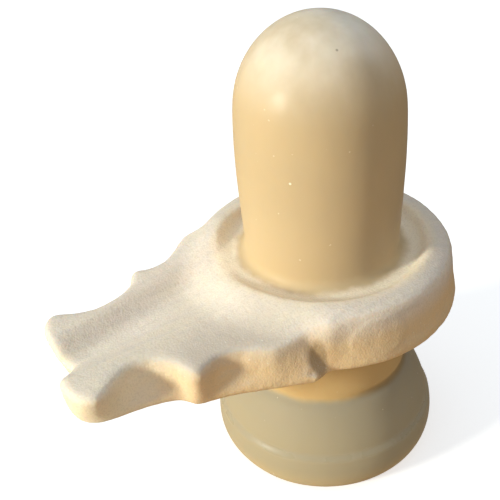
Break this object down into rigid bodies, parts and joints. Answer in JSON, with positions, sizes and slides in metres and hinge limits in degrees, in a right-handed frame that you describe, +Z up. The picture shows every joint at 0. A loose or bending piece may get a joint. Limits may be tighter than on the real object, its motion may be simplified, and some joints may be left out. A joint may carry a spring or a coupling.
{
  "type": "shiva lingam",
  "caption": "Carved stone lingam: a domed cylinder in a moat on a round disc with a lower scalloped, channelled spout, on a waisted round foot",
  "frame": {"origin": "the middle of the foot's flat underside, on the lingam's axis", "axes": "+Z up the lingam, -Y out along the spout, +X to the left of the spout seen from behind the lingam, which is the side that the picture shows"},
  "size_m": [0.084, 0.1349, 0.15],
  "materials": {
    "cream_marble": "polished on the lingam and the foot, honed on the plate"
  },
  "bodies": {
    "root": {"shiva_lingam": "cream_marble"}
  },
  "joints": []
}
